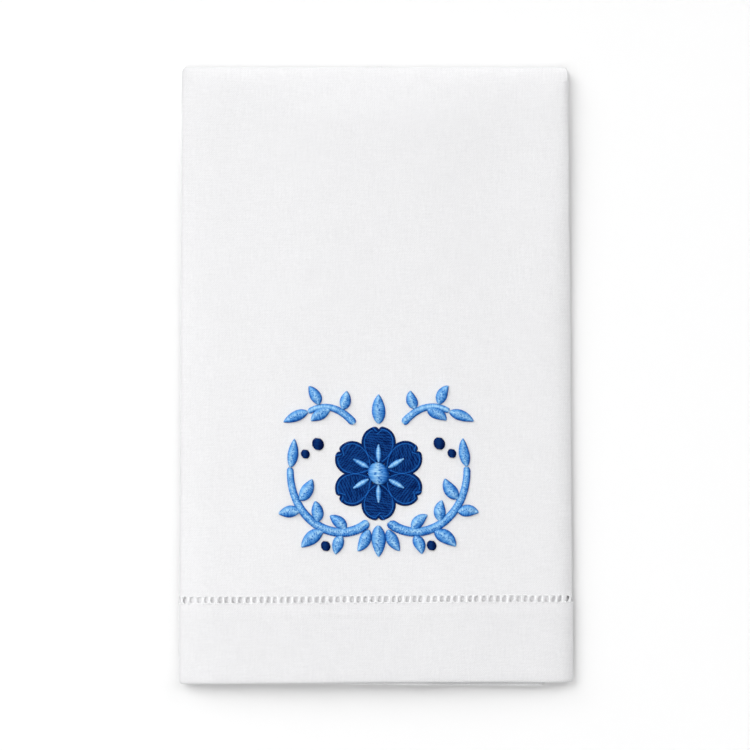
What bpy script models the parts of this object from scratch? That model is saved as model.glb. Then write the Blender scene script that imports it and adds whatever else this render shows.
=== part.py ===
# A white linen hand towel, folded and lying face up.
# The long sides are folded to the back, where they meet in the middle, and the towel is then folded
# in half, so that its plain half lies under the half with the deep hem. The half underneath is folded
# a little narrower, so its two side flaps overlap.
# X runs across the towel, +Y towards the top fold and +Z up. The origin is the middle of the
# folded towel, on the surface that it lies on. Lengths are in metres.
import math
from collections import namedtuple

import bmesh
import bpy

MM = 0.001

# The cloth as cut and hemmed, and its thickness.
TOWEL_WIDTH = 349 * MM
CLOTH = 1.0 * MM
DEEP_HEM = 1.2 * MM  # the cloth at the deep hem, where it is doubled
END_HEM = 1.15 * MM  # and at the narrow hem of the other end
AIR = 0.3 * MM  # between one layer and the next

# The folded towel along Y.
TOP = 140.5 * MM  # the outermost line of the top fold
HEM_LINE = -101.4 * MM  # the row of hemstitching above the deep hem
HEM_STEP = 2.6 * MM  # over which the cloth thickens to either side of that row
FRONT_END = -139.5 * MM  # the lower edge of the front, at its corners
FRONT_BOW = 0.8 * MM  # how much higher that edge lies in the middle
BACK_END = -140.5 * MM  # the lowest point of the half underneath, at its right corner
BACK_SKEW = 0.0105  # that edge rises to the left by this much for each metre
NARROW_HEM = 12 * MM

# How far the side folds lie from the middle, to the left and to the right, down each half.
Fold = namedtuple("Fold", "y left right")
FRONT_FOLDS = (
    Fold(138.0 * MM, 88.4 * MM, 87.4 * MM),
    Fold(0.0 * MM, 89.1 * MM, 88.7 * MM),
    Fold(-98.0 * MM, 89.5 * MM, 89.3 * MM),
    Fold(-104.0 * MM, 89.8 * MM, 89.8 * MM),
    Fold(-139.5 * MM, 89.8 * MM, 89.8 * MM),
)
BACK_FOLDS = (
    Fold(138.0 * MM, 88.4 * MM, 87.4 * MM),
    Fold(-10.0 * MM, 80.5 * MM, 78.0 * MM),
    Fold(-140.5 * MM, 80.0 * MM, 77.3 * MM),
)

# How much the side folds are drawn in at each corner, and over what length.
Corner = namedtuple("Corner", "drawn_in length")
TOP_CORNER = Corner(0.8 * MM, 8 * MM)
FRONT_CORNER = Corner(0.8 * MM, 4 * MM)
BACK_CORNER = Corner(1.2 * MM, 5 * MM)
CORNER_REACH = 10 * MM  # how far in from a side fold the cloth gives way for a corner

# Where one flap of the half underneath climbs over the other.
CLIMB_TOP, CLIMB_END = 138 * MM, 114 * MM
CLIMB_HEIGHT = END_HEM + AIR
CLIMB_CLEAR = 3 * MM  # it is fully up this far before the other's edge
CLIMB_RUN = 14 * MM  # and begins to climb this far before that
MOUND_RUN = 32 * MM  # the front lies over the step in a longer slope

# The front's sides hang over the narrower half, and it has soft ripples.
SIDE_DROOP = 2.1 * MM
FULL_OVERHANG = 9 * MM  # at which they have come down all that way
SLOPE_STEP = 0.2 * MM  # over which the front's slope is measured
RIPPLE = 0.14 * MM
RIPPLE_ACROSS, RIPPLE_ALONG = 52 * MM, 84 * MM

# How finely the cloth is divided: at these distances in from each side fold, and in steps elsewhere.
DIVISIONS = [d * MM for d in (3, 7, 13, 22, 32, 42, 51, 60, 68, 75)]
FOLD_STEPS = 6
FRONT_STEPS, TOP_STEPS, BACK_STEPS = 10, 8, 8

WHITE_LINEN = (0.86, 0.87, 0.88, 1)


def soft_step(low, high, value):
    """0 up to low and 1 from high, with an S-shaped rise between them."""
    share = min(1, max(0, (value - low) / (high - low)))
    return share * share * (3 - 2 * share)


def side_folds(table, y):
    """The distances of the left and the right fold from the middle, at y."""
    for upper, lower in zip(table, table[1:]):
        if y >= lower.y:
            break
    share = soft_step(upper.y, lower.y, y) if y < upper.y else 0
    left = upper.left + (lower.left - upper.left) * share
    right = upper.right + (lower.right - upper.right) * share
    return left, right


def front_cloth(y):
    return CLOTH + (DEEP_HEM - CLOTH) * soft_step(HEM_LINE + HEM_STEP, HEM_LINE - HEM_STEP, y)


def back_cloth(y):
    start = BACK_END + NARROW_HEM
    return CLOTH + (END_HEM - CLOTH) * soft_step(start + HEM_STEP, start, y)


def front_depth(y):
    """From the face of the front down to the face of its flaps. The hem props it open."""
    return 2 * (CLOTH + (DEEP_HEM - CLOTH) * soft_step(TOP, HEM_LINE, y)) + AIR


def back_depth(y):
    return 2 * (CLOTH + (END_HEM - CLOTH) * soft_step(TOP, BACK_END + NARROW_HEM, y)) + AIR


# The outer radius of the top fold, which holds two layers from each half, and where it starts.
FOLD_RADIUS = (front_depth(TOP) + back_depth(TOP) + AIR) / 2
START = TOP - FOLD_RADIUS


def turn_radius(depth, cloth):
    """The radius of a side fold, to the middle of the cloth."""
    return (depth - cloth) / 2


def flap_edge(fold, depth, cloth=CLOTH):
    """How far short of the middle a flap ends. It is negative where the flap crosses the middle."""
    return 2 * (fold - depth / 2) + math.pi * turn_radius(depth, cloth) - TOWEL_WIDTH / 2


def climb(x, y, run):
    """How much of a layer the right flap underneath has climbed, at x and y, from 0 to 1."""
    left, _ = side_folds(BACK_FOLDS, y)
    ledge = CLIMB_CLEAR - flap_edge(left, back_depth(y))
    return soft_step(CLIMB_TOP, CLIMB_END, y) * soft_step(ledge + run, ledge, x)


def mound(x, y):
    """The part of a layer by which the two overlapping flaps lift the front."""
    _, right = side_folds(BACK_FOLDS, y)
    ledge = flap_edge(right, back_depth(y)) - CLIMB_CLEAR
    return climb(x, y, MOUND_RUN) * soft_step(ledge - MOUND_RUN, ledge, x)


def droop(x, y):
    """How far the front hangs down beside the narrower half underneath."""
    narrow = side_folds(BACK_FOLDS, y)[x > 0]
    wide = side_folds(FRONT_FOLDS, y)[x > 0]
    start = narrow - back_depth(y) / 2
    past = min(1, max(0, (abs(x) - start) / (wide - start)))
    return SIDE_DROOP * min(1, (wide - narrow) / FULL_OVERHANG) * past * past


def ripple(x, y):
    """The soft waves of the upper face, which die away towards the top fold."""
    across, along = x / RIPPLE_ACROSS, y / RIPPLE_ALONG
    waves = math.sin(2 * across + along) + math.sin(3 * along - across)
    return RIPPLE * (1 + waves / 2) * soft_step(TOP - 5 * MM, TOP - 45 * MM, y)


def front_face(x, y):
    """The height of the towel's upper face."""
    below = back_depth(y) + CLIMB_HEIGHT * mound(x, y) + AIR
    return below + front_depth(y) + ripple(x, y) - droop(x, y)


def corner_draw(corner, inside):
    """How far a corner draws in a side fold, at a place that far inside the end."""
    return corner.drawn_in * min(1, max(0, 1 - inside / corner.length)) ** 2


def drawn_in(x, y, folds, end, end_corner):
    """x, moved towards the middle near the corners of the top and of that end."""
    fold = folds[x > 0]
    amount = corner_draw(TOP_CORNER, TOP - y) + corner_draw(end_corner, y - end)
    return x - math.copysign(amount * soft_step(fold - CORNER_REACH, fold, abs(x)), x)


def section(folds, depth, cloth):
    """The middle of the cloth across one row: places across the towel, and depths below its upper face."""
    turn = turn_radius(depth, cloth)
    near, far = cloth / 2, depth - cloth / 2
    sides = []
    for side, fold in zip((-1, 1), folds):
        straight = fold - depth / 2
        inner = [side * (straight - inside) for inside in reversed(DIVISIONS)]
        half = [(side * flap_edge(fold, depth, cloth), far)] + [(x, far) for x in inner]
        for step in range(FOLD_STEPS + 1):
            angle = math.pi * step / FOLD_STEPS
            half.append((side * (straight + turn * math.sin(angle)), depth / 2 + turn * math.cos(angle)))
        sides.append(half + [(x, near) for x in reversed(inner)])
    left_side, right_side = sides
    middle = [((folds[1] - folds[0]) / 2, near)]
    return left_side + middle + right_side[::-1]


def front_row(y):
    """A row of the front half."""
    folds = side_folds(FRONT_FOLDS, y)
    share = (START - y) / (START - FRONT_END)
    row = []
    for x, depth in section(folds, front_depth(y), front_cloth(y)):
        slope = (front_face(x + SLOPE_STEP, y) - front_face(x - SLOPE_STEP, y)) / (2 * SLOPE_STEP)
        below = depth / math.hypot(1, slope)
        bow = FRONT_BOW * (1 - (x / folds[0]) ** 2) * share
        place = drawn_in(x + slope * below, y, folds, FRONT_END, FRONT_CORNER)
        row.append((place, y + bow, front_face(x, y) - below))
    return row


def top_row(angle):
    """A row round the top fold."""
    folds = side_folds(FRONT_FOLDS, TOP)
    row = []
    for x, depth in section(folds, front_depth(TOP), CLOTH):
        reach = FOLD_RADIUS - depth
        y = START + reach * math.sin(angle)
        place = drawn_in(x, y, folds, FRONT_END, FRONT_CORNER)
        row.append((place, y, FOLD_RADIUS + reach * math.cos(angle)))
    return row


def back_row(y):
    """A row of the half underneath."""
    folds = side_folds(BACK_FOLDS, y)
    share = (START - y) / (START - BACK_END)
    row = []
    points = section(folds, back_depth(y), back_cloth(y))
    for index, (x, depth) in enumerate(points):
        is_right_flap = index >= len(points) - 1 - len(DIVISIONS)
        lift = CLIMB_HEIGHT * climb(x, y, CLIMB_RUN) if is_right_flap else 0
        rise = BACK_SKEW * (BACK_FOLDS[-1].right - x) * share
        row.append((drawn_in(x, y, folds, BACK_END, BACK_CORNER), y + rise, depth + lift))
    return row


def even(low, high, steps):
    return [low + (high - low) * step / steps for step in range(steps + 1)]


def cloth_rows():
    """Every row of the cloth, from the deep hem round the top fold to the narrow hem."""
    near_hem = [HEM_LINE - HEM_STEP, HEM_LINE, HEM_LINE + HEM_STEP]
    front = even(FRONT_END, FRONT_END + FRONT_CORNER.length, 2) + [(FRONT_END + HEM_LINE) / 2]
    by_top = even(START - TOP_CORNER.length, CLIMB_END, 2)
    front += near_hem[:-1] + even(near_hem[-1], CLIMB_END, FRONT_STEPS) + by_top[-2::-1]
    hem_start = BACK_END + NARROW_HEM
    back = by_top[:-1] + even(CLIMB_END, hem_start + HEM_STEP, BACK_STEPS) + [hem_start]
    back += even(BACK_END + BACK_CORNER.length, BACK_END, 2)
    rows = [(front_row(y), front_cloth(y)) for y in front + [START]]
    rows += [(top_row(angle), CLOTH) for angle in even(0, math.pi, TOP_STEPS)[1:-1]]
    rows += [(back_row(y), back_cloth(y)) for y in [START] + back]
    return rows


def make_cloth(name):
    """The flat cloth as a grid, folded by moving its points, and then given its thickness."""
    rows = cloth_rows()
    across, along = len(rows[0][0]), len(rows)
    mesh = bpy.data.meshes.new(name)
    grid = bmesh.new()
    bmesh.ops.create_grid(grid, x_segments=across - 1, y_segments=along - 1, size=0.5)
    thickness = grid.verts.layers.deform.verify()
    for vert in grid.verts:
        column = round((vert.co.x + 0.5) * (across - 1))
        line = round((vert.co.y + 0.5) * (along - 1))
        points, cloth = rows[line]
        vert.co = points[column]
        vert[thickness][0] = cloth / DEEP_HEM
    grid.to_mesh(mesh)
    grid.free()
    towel = bpy.data.objects.new(name, mesh)
    towel.vertex_groups.new(name="thickness")
    solid = towel.modifiers.new("Solidify", "SOLIDIFY")
    solid.thickness = DEEP_HEM
    solid.offset = 0
    solid.vertex_group = "thickness"
    return towel


def linen(name, colour):
    material = bpy.data.materials.new(name)
    material.use_nodes = True
    shader = material.node_tree.nodes["Principled BSDF"]
    shader.inputs["Base Color"].default_value = colour
    shader.inputs["Roughness"].default_value = 0.9
    shader.inputs["Metallic"].default_value = 0
    return material


def main():
    for obj in list(bpy.data.objects):
        bpy.data.objects.remove(obj)
    parts = bpy.data.collections.new("hand_towel")
    bpy.context.scene.collection.children.link(parts)
    towel = make_cloth("towel")
    towel.data.materials.append(linen("linen", WHITE_LINEN))
    towel.data.shade_smooth()
    parts.objects.link(towel)


main()
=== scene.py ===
# A white linen hand towel, folded and lying face up, seen from straight above.
# The cloth is laid out flat, cut, given its holes and then folded, and every stitch is folded with it.
# Sizes are in millimetres, and foldPoint turns them into Blender's metres.
import math
import random
from collections import namedtuple

import bmesh
import bpy
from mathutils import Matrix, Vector, noise


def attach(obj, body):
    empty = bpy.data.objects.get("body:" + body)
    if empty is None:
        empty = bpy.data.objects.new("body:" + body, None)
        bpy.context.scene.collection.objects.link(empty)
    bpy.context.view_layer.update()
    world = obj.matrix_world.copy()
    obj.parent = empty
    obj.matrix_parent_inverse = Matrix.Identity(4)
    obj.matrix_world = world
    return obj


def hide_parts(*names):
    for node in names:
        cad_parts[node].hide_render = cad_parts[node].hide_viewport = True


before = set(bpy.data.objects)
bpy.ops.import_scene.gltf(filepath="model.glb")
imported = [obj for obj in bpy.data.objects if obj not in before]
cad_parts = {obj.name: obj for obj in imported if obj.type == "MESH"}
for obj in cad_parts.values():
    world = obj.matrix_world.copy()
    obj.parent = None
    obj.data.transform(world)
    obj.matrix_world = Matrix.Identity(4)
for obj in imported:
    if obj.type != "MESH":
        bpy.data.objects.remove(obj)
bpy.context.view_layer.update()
mm = 0.001

# The same folds as the solid's. Places are from the middle of the folded towel, +y towards its top.
folded = {
    "top": 140.35,  # outermost line of the top fold
    "frontEnd": -139.6,  # lower edge of the front, at its corners
    "frontBow": 0.7,  # how much higher that edge lies in the middle
    "frontSway": (0.35, 47),  # and how much it sways up on the right and down on the left, and how widely
    "backEnd": -140.9,  # lowest point of the half underneath
    "backSkew": 0.0098,  # its edge rises to the left by this much for each millimetre
    "air": 0.1,  # between the two halves
    "topDepth": 1.6,  # thickness of a half, panel and flap together, at the top fold
    "shoulder": 4.2,  # soon below the fold it comes to its full depth
    "fullDepth": 2.4,
    "hemDepth": 1.65,
    "endDepth": 3.6,  # the half underneath is propped open by its narrow hem
    "sideDroop": (0.4, 1.0),  # how far the front's left and right sides hang down beside the narrower half
    "sideTuck": (0, 1.0),  # and curl in towards the very edge
    "flapHang": (1.3, 0.65),  # their flaps sag below that, almost to the surface
    "droopLead": 5,  # they begin to come down this far before the narrower half's edge
    "fullOverhang": 9,
    "topPress": 0.15,  # how far the folds stand out as a share of a round one: they are ironed
    "sidePress": 0.22,
    "pressedArc": 0.67,  # and how long such a pressed fold is
    "flapTuck": 3.9,  # how much higher up the front's flaps lie at the hem than the panel over them
    "flapRun": 6,
    "tuckRun": (-6, 32.1),  # how far up the cloth they come to be tucked
    "flapRest": (-134, -114, -92, -68),  # y where they come up to the panel, and leave it again
    "flapGap": 0.6,  # from the face down to them there
    "hemGap": 0.85,  # and behind the deep hem
    "gapRun": (0.6, 0.8),  # how far below and above the drawn threads that changes
    "climbTop": 138,  # between these, one flap underneath comes to lie over the other
    "climbEnd": 114,
    "climbHeight": 1.45,
    "climbClear": 3,
    "climbRun": 14,
    "moundRun": 66,
    "cornerReach": 10,  # how far in from a side fold the cloth gives way for a corner
}

Fold = namedtuple("Fold", "y left right")
frontFolds = (
    Fold(138, 88.4, 87.4),
    Fold(0, 89.1, 88.7),
    Fold(-98, 89.5, 89.3),
    Fold(-104, 89.8, 89.8),
    Fold(-139.5, 89.8, 89.8),
)
backFolds = (
    Fold(138, 88.4, 87.4),
    Fold(-10, 80.5, 78.0),
    Fold(-141.1, 80.0, 77.3),
)
Corner = namedtuple("Corner", "drawnIn length")
topCorner = Corner(1.3, 3)
frontCorner = Corner(0.9, 1.8)
backCorner = Corner(1.2, 5)

# The cloth itself, as woven, cut and hemmed.
cloth = {
    "width": 361.6,
    "thick": 0.45,
    "hemThick": 0.72,  # two layers
    "bandThick": 0.8,  # where the deep hem's raw edge is turned under
    "barThick": 0.3,  # the bundles of thread between the hemstitching's holes
    "sideHem": 4,
    "narrowHem": 12,
    "edgeThin": 0.8,  # share of the thickness that a rounded edge loses
    "hemLine": 38.1,  # the hemstitching's middle, up from the deep hem's edge
    "bandEdge": 30.5,  # where the turned-under part of the deep hem ends
    "bandRise": 0.14,
    "bandSlope": 1.8,
    "foldShadeWide": (1.3, 1.1),  # of the line of painted shade on the left fold, and on the top one
    "foldShadeAt": 0.4,  # how far round the top fold that line lies
    "seamGroove": 0.16,
    "seamReach": 0.9,
    "seamIn": 1.0,  # seams run this far in from the hems' inner edges
}


def limited(share):
    return min(1, max(0, share))


def softStep(low, high, value):
    share = limited((value - low) / (high - low))
    return share * share * (3 - 2 * share)


def blendTo(low, high, share):
    return low + (high - low) * share


def sideFolds(table, y):
    for upper, lower in zip(table, table[1:]):
        if y >= lower.y:
            break
    share = softStep(upper.y, lower.y, y) if y < upper.y else 0
    return blendTo(upper.left, lower.left, share), blendTo(upper.right, lower.right, share)


foldRadius = folded["topDepth"] + folded["air"] / 2
startY = folded["top"] - foldRadius * folded["topPress"]  # where the top fold begins
frontLength = startY - folded["frontEnd"]
turnLength = math.pi * (foldRadius - cloth["thick"] / 2) * folded["pressedArc"]
backLength = startY - folded["backEnd"]
clothLength = frontLength + turnLength + backLength


def depthAt(y, hemY, hemDepth):
    full = blendTo(folded["fullDepth"], hemDepth, softStep(folded["top"], hemY, y))
    thinner = folded["fullDepth"] - folded["topDepth"]
    return full - thinner * math.exp(min(0, y - startY) / folded["shoulder"])


def frontDepth(y):
    return depthAt(y, folded["frontEnd"] + cloth["hemLine"], folded["hemDepth"])


def backDepth(y):
    return depthAt(y, folded["backEnd"] + cloth["narrowHem"], folded["endDepth"])


def frontAt(y):
    return sideFolds(frontFolds, y), frontDepth(y)


def backAt(y):
    return sideFolds(backFolds, y), backDepth(y)


def straightEnd(fold, depth):
    # where the cloth begins to turn into a side fold
    return fold - folded["sidePress"] * depth / 2


def turnRun(depth):
    # the length of cloth in a side fold
    return math.pi * (depth - cloth["thick"]) / 2 * folded["pressedArc"]


def flapEnd(fold, depth):
    # how far short of the middle a flap ends, below 0 where it crosses the middle
    return 2 * straightEnd(fold, depth) + turnRun(depth) - cloth["width"] / 2


def climb(x, y, run):
    # how much the right flap underneath has climbed over the left one
    (left, _), depth = backAt(y)
    ledge = folded["climbClear"] - flapEnd(left, depth)
    return softStep(folded["climbTop"], folded["climbEnd"], y) * softStep(ledge + run, ledge, x)


def mound(x, y):
    (_, right), depth = backAt(y)
    ledge = flapEnd(right, depth) - folded["climbClear"]
    return climb(x, y, folded["moundRun"]) * softStep(ledge - folded["moundRun"], ledge, x)


def overhang(x, y):
    # how far out over the narrower half's edge a place is, and how free the front is to come down there
    narrow = sideFolds(backFolds, y)[x > 0]
    wide = sideFolds(frontFolds, y)[x > 0]
    start = straightEnd(narrow, backDepth(y)) - folded["droopLead"]
    past = limited((abs(x) - start) / (wide - start))
    return past, min(1, (wide - narrow) / folded["fullOverhang"])


def droop(x, y):
    past, free = overhang(x, y)
    return (folded["sideDroop"][x > 0] * past ** 2 + folded["sideTuck"][x > 0] * past ** 6) * free


def flapHang(x, y):
    past, free = overhang(x, y)
    return folded["flapHang"][x > 0] * past ** 3 * free


# Long soft waves of the upper face. They die away towards the top fold.
waves = {"height": 0.05, "across": 52, "along": 84, "calmAbove": 45, "flatAbove": 5}


def frontFace(x, y):
    across, along = x / waves["across"], y / waves["along"]
    swell = math.sin(2 * across + along) + math.sin(3 * along - across)
    calm = softStep(folded["top"] - waves["flatAbove"], folded["top"] - waves["calmAbove"], y)
    below = backDepth(y) + folded["climbHeight"] * mound(x, y) + folded["air"]
    return below + frontDepth(y) + waves["height"] * (1 + swell / 2) * calm - droop(x, y)


# Creases and dents that ironing left, each with its middle, heading in degrees, length, width and height.
Crease = namedtuple("Crease", "x y heading length width height")
creases = (
    Crease(53, 94, 55, 44, 15, -0.34),  # the shallow valley in the upper right
    Crease(72, 60, 88, 120, 8, 0.16),  # the ridge to the right of it
    Crease(30, 80, 92, 80, 16, 0.14),
    Crease(-6, 68, 2, 62, 2.6, 0.07),  # a faint line across
    Crease(4, 64.5, 2, 70, 3.2, -0.05),
    Crease(-66, 6.5, 12, 9, 1.6, -0.07),
    Crease(-66.5, 9.5, 12, 10, 2.2, 0.06),
    Crease(80, -43, 3, 12, 1.9, -0.12),
    Crease(80, -40, 3, 12, 2.4, 0.08),
    Crease(76, -51, -4, 14, 2.2, -0.06),
    Crease(-70, -60, 70, 22, 10, -0.22),
    Crease(-76, -127, 40, 14, 7, -0.2),
    Crease(-44, -130, 10, 26, 6, -0.16),
    Crease(12, -122, 52, 14, 2.6, 0.12),
    Crease(16, -125, 52, 16, 4, -0.12),
    Crease(62, -122, 60, 26, 9, -0.16),
    Crease(-30, 118, -4, 70, 7, 0.1),
    Crease(76, 116, 60, 12, 4, 0.14),
    Crease(-56, 100, 80, 60, 12, 0.1),
)
creaseFaint = 7  # past this a crease no longer shows
creaseRun = (2, 14)  # how far below the top fold creases begin, and come to their full height
# Cloth is never quite smooth: how wide, long and high its unevenness is, and where its noise is cut.
unevenness = ((31, 42, 0.06, 0), (12, 15, 0.02, 7.3))


def creaseHeight(x, y):
    height = 0
    for crease in creases:
        angle = math.radians(crease.heading)
        dx, dy = x - crease.x, y - crease.y
        along = (dx * math.cos(angle) + dy * math.sin(angle)) / (crease.length / 2)
        across = (dy * math.cos(angle) - dx * math.sin(angle)) / crease.width
        reach = along * along + across * across
        if reach < creaseFaint:
            height += crease.height * math.exp(-reach)
    for wide, tall, amount, cut in unevenness:
        height += amount * noise.noise(Vector((x / wide, y / tall, cut)))
    return height


def bandHeight(y):
    # the doubled raw edge lifts the deep hem next to the hemstitching
    v = y - folded["frontEnd"]
    slope, top = cloth["bandSlope"], cloth["hemLine"]
    up = softStep(cloth["bandEdge"] - slope / 2, cloth["bandEdge"] + slope / 2, v)
    return cloth["bandRise"] * up * softStep(top + slope, top - slope, v)


# Each side fold is pressed flatter than the middle, the left one more widely.
Pressed = namedtuple("Pressed", "depth run power")
pressedSides = (Pressed(0.95, 17, 1.5), Pressed(0.55, 6, 2))
pressedHem = Pressed(0.35, 2.5, 2)
pressedBelow = 8  # they come to that so far below the top fold


def relief(x, y):
    calm = softStep(folded["top"] - creaseRun[0], folded["top"] - creaseRun[1], y)
    pressed = pressedSides[x > 0]
    fold = sideFolds(frontFolds, y)[x > 0]
    past = limited((abs(x) - fold + pressed.run) / pressed.run)
    sunk = pressed.depth * past ** pressed.power * softStep(folded["top"], folded["top"] - pressedBelow, y)
    nearHem = limited(1 - (y - folded["frontEnd"]) / pressedHem.run)
    sunk += pressedHem.depth * nearHem ** pressedHem.power
    return creaseHeight(x, y) * calm + bandHeight(y) - sunk


def cornerDraw(corner, inside):
    return corner.drawnIn * limited(1 - inside / corner.length) ** 2


def drawnIn(x, y, folds, end, endCorner):
    fold = folds[x > 0]
    amount = cornerDraw(topCorner, folded["top"] - y) + cornerDraw(endCorner, y - end)
    return x - math.copysign(amount * softStep(fold - folded["cornerReach"], fold, abs(x)), x)


def acrossFolds(u, folds, depth, lift):
    # where a place u across the cloth comes to lie, and how far below the half's outer face
    fold, side = folds[u > 0], math.copysign(1, u)
    straight, run = straightEnd(fold, depth), turnRun(depth)
    past = abs(u) - straight
    if past <= 0:
        return u, -lift
    if past < run:
        reach, turned = depth / 2 + lift, math.pi * past / run
        x = straight + reach * folded["sidePress"] * math.sin(turned)
        return side * x, depth / 2 - reach * math.cos(turned)
    return side * (straight + run - past), depth + lift


def flapRest(u, v, straight, run):
    # how closely a flap lies under the panel there, how far below the face, and how far up it is tucked
    y = folded["frontEnd"] + v
    aside = softStep(0, run / 2 + folded["flapRun"], abs(u) - straight - run / 2)
    tuck = folded["flapTuck"] * (startY - y) / frontLength * aside * softStep(*folded["tuckRun"], v)
    low, met, leaving, left = folded["flapRest"]
    close = softStep(low, met, y) * softStep(left, leaving, y) * aside
    foot = folded["frontEnd"] + cloth["hemLine"] - hemstitch["bandHalf"]
    before, after = folded["gapRun"]
    gap = blendTo(folded["hemGap"], folded["flapGap"], softStep(foot - before, foot + after, y + tuck))
    return close, gap, tuck


def frontPlace(u, v, lift):
    y = folded["frontEnd"] + v
    folds, depth = frontAt(y)
    x, below = acrossFolds(u, folds, depth, lift)
    close, gap, tuck = flapRest(u, v, straightEnd(folds[u > 0], depth), turnRun(depth))
    if close > 0:
        below = blendTo(below, min(below, gap + clothThickness(u, v) + lift), close)
    y += tuck
    inside = limited(below / depth)  # creases are the panel's and don't reach the flap
    down = below - relief(x, y) * (1 - inside) + flapHang(x, y) * inside
    sway, wide = folded["frontSway"]
    reach = (startY - y) / frontLength
    bow = folded["frontBow"] * (1 - (x / folds[0]) ** 2) * reach ** 5
    bow += sway * math.sin(x / wide) * reach
    place = drawnIn(x, y, folds, folded["frontEnd"], frontCorner)
    return place, y + bow, frontFace(x, y) - down


def turnPlace(u, angle, lift):
    folds, depth = frontAt(folded["top"])
    x, below = acrossFolds(u, folds, depth, lift)
    reach = foldRadius - below
    y = startY + reach * folded["topPress"] * math.sin(angle)
    place = drawnIn(x, y, folds, folded["frontEnd"], frontCorner)
    slope = 2 * (folded["fullDepth"] - folded["topDepth"]) / folded["shoulder"]
    sink = slope * (y - startY) * softStep(math.pi, 0, angle)
    return place, y, foldRadius + reach * math.cos(angle) - sink


def backPlace(u, y, lift):
    folds, depth = backAt(y)
    x, height = acrossFolds(u, folds, depth, lift)
    isRightFlap = u > folds[1] + depth / 2
    if isRightFlap:
        height += folded["climbHeight"] * climb(x, y, folded["climbRun"])
    rise = folded["backSkew"] * (backFolds[-1].right - x) * (startY - y) / backLength
    return drawnIn(x, y, folds, folded["backEnd"], backCorner), y + rise, height


def foldPoint(u, v, lift=0):
    # u across the flat cloth, v up from the deep hem's edge, lift off the cloth's right side
    if v <= frontLength:
        place = frontPlace(u, v, lift)
    elif v < frontLength + turnLength:
        place = turnPlace(u, math.pi * (v - frontLength) / turnLength, lift)
    else:
        place = backPlace(u, startY - (v - frontLength - turnLength), lift)
    return Vector(place) * mm


hemstitch = {
    "pitch": 3.147,  # the flaps' holes then come between the front's
    "holeCell": 2.3,  # the part of a pitch that is open, and the rest is a bar
    "bandHalf": 1.65,  # half the height of the drawn-thread band
    "holeWide": 1.8,
    "holeTall": 2.9,
    "lean": 0.1,  # the holes lean to the right
    "wander": 0.22,  # and don't lie quite evenly
    "rimCut": 0.7,  # an edge round a hole that is longer than this gets two more points
    "seed": 5,
}
holesEachSide = int((cloth["width"] / 2 - cloth["sideHem"]) / hemstitch["pitch"])
# columns are closer together where the sides turn, between these
turnZone = (85.5, 93)
gridSteps = {
    "front": 2.85,  # millimetres between the rows
    "back": 6.2,
    "turn": 14,  # rows round the top fold
    "zoneHole": 5,  # columns on the side folds for each hole, and for each bar
    "zoneBar": 2,
    "shiftRun": 46,
    "deepHem": (0, 0.15, 0.4, 0.9, 2, 4),  # up from its edge
    "edge": (1.2, 0.5, 0.2, 0),  # in from the other edges
}


def holeMiddles():
    dice = random.Random(hemstitch["seed"])
    found = []
    for index in range(-holesEachSide, holesEachSide):
        middle = (index + 0.5) * hemstitch["pitch"]
        found.append(middle + dice.uniform(-1, 1) * hemstitch["wander"])
    return found


def clothColumns():
    # the holes' sides, and steps between them where the cloth turns
    half = hemstitch["holeCell"] / 2
    marks = []
    for index in range(holesEachSide):
        middle = (index + 0.5) * hemstitch["pitch"]
        marks += [middle - half, middle + half]
    columns = [0]
    for number, mark in enumerate(marks):
        steps = 1
        if turnZone[0] < mark < turnZone[1]:
            steps = gridSteps["zoneHole"] if number % 2 else gridSteps["zoneBar"]
        last = columns[-1]
        columns += [blendTo(last, mark, (step + 1) / steps) for step in range(steps)]
    columns += [cloth["width"] / 2 - inside for inside in gridSteps["edge"]]
    return [-column for column in columns[:0:-1]] + columns


def clothRows():
    line, half = cloth["hemLine"], hemstitch["bandHalf"]
    band, slope = cloth["bandEdge"], cloth["bandSlope"]
    rows = list(gridSteps["deepHem"])
    rows += evenSteps(6, band - slope, 10) + evenSteps(band - slope / 2, band + slope, 3)
    rows += [band + 3, line - half - 1, line - half, line, line + half, line + half + 0.8]
    rows += evenSteps(line + half + 2.4, frontLength - 4, round(frontLength / gridSteps["front"] - 18))
    rows += evenSteps(frontLength - 2, frontLength + turnLength + 2, gridSteps["turn"])
    seam = clothLength - cloth["narrowHem"]
    rows += evenSteps(frontLength + turnLength + 5, seam - 3, round(backLength / gridSteps["back"]))
    rows += evenSteps(seam - 0.8, seam + 2.4, 8)
    rows += [clothLength - inside for inside in (6, 3) + gridSteps["edge"]]
    return rows


def evenSteps(low, high, steps):
    return [blendTo(low, high, step / steps) for step in range(steps + 1)]


def columnShift(u, v):
    # keeps the close columns on the side folds, which run in towards the middle underneath
    if v <= frontLength:
        folds, depth = frontAt(folded["frontEnd"] + v)
    elif v < frontLength + turnLength:
        folds, depth = frontAt(folded["top"])
    else:
        folds, depth = backAt(startY - (v - frontLength - turnLength))
    atHem = straightEnd(frontFolds[-1].left, folded["hemDepth"])
    shift = straightEnd(folds[u > 0], depth) - atHem
    low, high, run = turnZone[0], turnZone[1], gridSteps["shiftRun"]
    share = softStep(low - run, low, abs(u)) * softStep(high + run, high, abs(u))
    return u + math.copysign(shift * share, u)


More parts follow.
